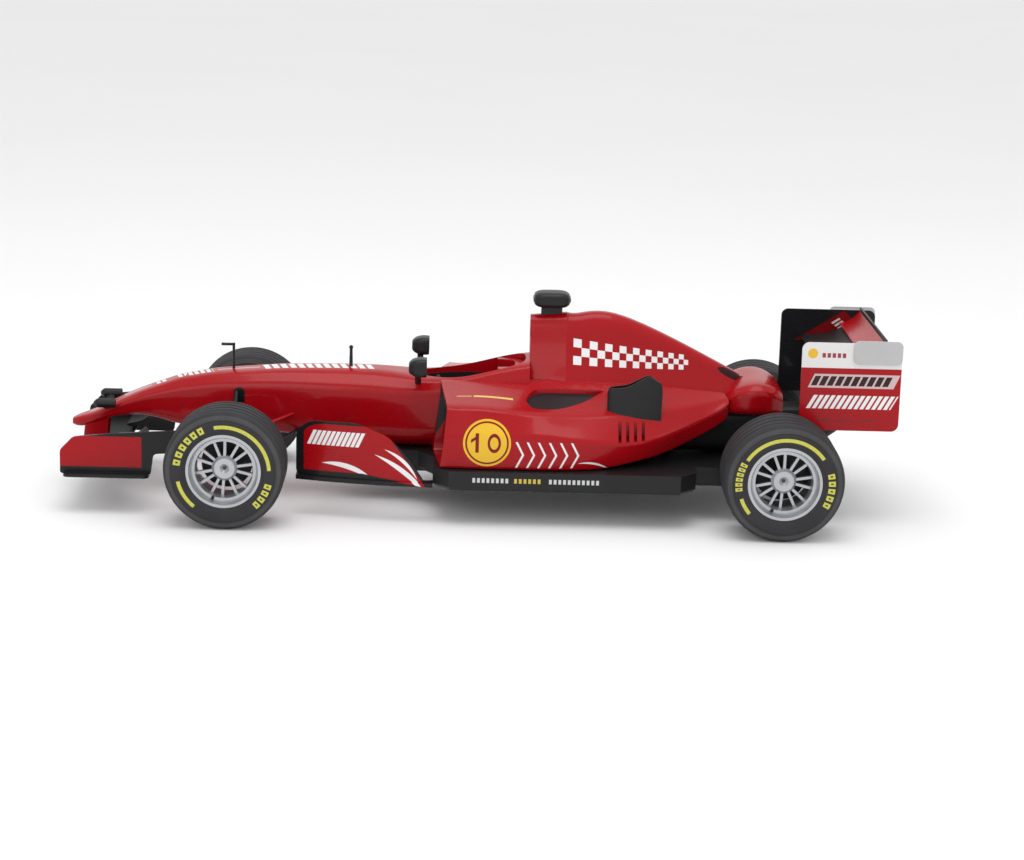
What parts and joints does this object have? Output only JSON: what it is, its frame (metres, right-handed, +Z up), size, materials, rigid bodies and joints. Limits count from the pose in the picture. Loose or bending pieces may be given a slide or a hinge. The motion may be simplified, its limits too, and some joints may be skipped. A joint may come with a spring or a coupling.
{
  "type": "toy open wheel racing car",
  "caption": "Free-rolling toy racing car with open cockpit, side pods, wings on endplates, wishbone suspension and wide exposed wheels.",
  "frame": {"origin": "middle of the bounding box on the ground plane", "axes": "+X to the nose, +Y to the driver's left, +Z up"},
  "size_m": [0.466, 0.18, 0.1205],
  "materials": {
    "red_lacquer": "glossy moulded red plastic",
    "black_plastic": "satin black moulded plastic",
    "cockpit_black": "grained black plastic",
    "mesh_black": "black finned core",
    "pale_grey": "pale grey lacquer",
    "lamp_red": "dark red lens",
    "tyre_rubber": "soft dark rubber",
    "rim_silver": "silver lacquered plastic",
    "pin_steel": "drawn pin"
  },
  "bodies": {
    "chassis": {"airbox": "red_lacquer", "antenna_mast": "black_plastic", "bargeboard_left": "red_lacquer", "bargeboard_right": "red_lacquer", "beam_wing": "black_plastic", "camera_pod": "black_plastic", "chimney_left": "black_plastic", "chimney_right": "black_plastic", "cockpit_liner": "cockpit_black", "cockpit_tub": "red_lacquer", "dashboard": "cockpit_black", "diffuser": "black_plastic", "drive_shafts": "black_plastic", "engine_cover": "red_lacquer", "flap_end_panels": "pale_grey", "floor": "black_plastic", "front_endplate_left": "red_lacquer", "front_endplate_right": "red_lacquer", "front_flap_left": "black_plastic", "front_flap_right": "black_plastic", "front_lower_wishbones": "black_plastic", "front_pushrods": "black_plastic", "front_upper_wishbones": "red_lacquer", "front_wing": "black_plastic", "gearbox": "black_plastic", "headrest": "red_lacquer", "mirror_left": "black_plastic", "mirror_right": "black_plastic", "nose_cameras": "black_plastic", "nose_cone": "red_lacquer", "pitot_tube": "black_plastic", "pod_outlets": "black_plastic", "radiators": "mesh_black", "rain_light": "lamp_red", "rear_deck": "red_lacquer", "rear_endplate_left": "red_lacquer", "rear_endplate_right": "red_lacquer", "rear_lower_wishbones": "black_plastic", "rear_upper_wishbones": "black_plastic", "rear_wing": "black_plastic", "rear_wing_flap": "red_lacquer", "seat": "cockpit_black", "side_pod_left": "red_lacquer", "side_pod_right": "red_lacquer", "steering_wheel": "cockpit_black", "stub_axles": "pin_steel", "upright_front_left": "black_plastic", "upright_front_right": "black_plastic", "upright_rear_left": "black_plastic", "upright_rear_right": "black_plastic", "wing_pylons": "red_lacquer"},
    "wheel_front_left": {"tyre_front_left": "tyre_rubber", "rim_front_left": "rim_silver"},
    "wheel_front_right": {"tyre_front_right": "tyre_rubber", "rim_front_right": "rim_silver"},
    "wheel_rear_left": {"tyre_rear_left": "tyre_rubber", "rim_rear_left": "rim_silver"},
    "wheel_rear_right": {"tyre_rear_right": "tyre_rubber", "rim_rear_right": "rim_silver"}
  },
  "joints": [
    {"name": "front_left_wheel_spin", "type": "hinge", "parent": "chassis", "child": "wheel_front_left", "pos_m": [0.138, 0.07, 0.033], "axis": [0, 1, 0], "continuous": true},
    {"name": "front_right_wheel_spin", "type": "hinge", "parent": "chassis", "child": "wheel_front_right", "pos_m": [0.138, -0.07, 0.033], "axis": [0, 1, 0], "continuous": true},
    {"name": "rear_left_wheel_spin", "type": "hinge", "parent": "chassis", "child": "wheel_rear_left", "pos_m": [-0.167, 0.07, 0.033], "axis": [0, 1, 0], "continuous": true},
    {"name": "rear_right_wheel_spin", "type": "hinge", "parent": "chassis", "child": "wheel_rear_right", "pos_m": [-0.167, -0.07, 0.033], "axis": [0, 1, 0], "continuous": true}
  ]
}
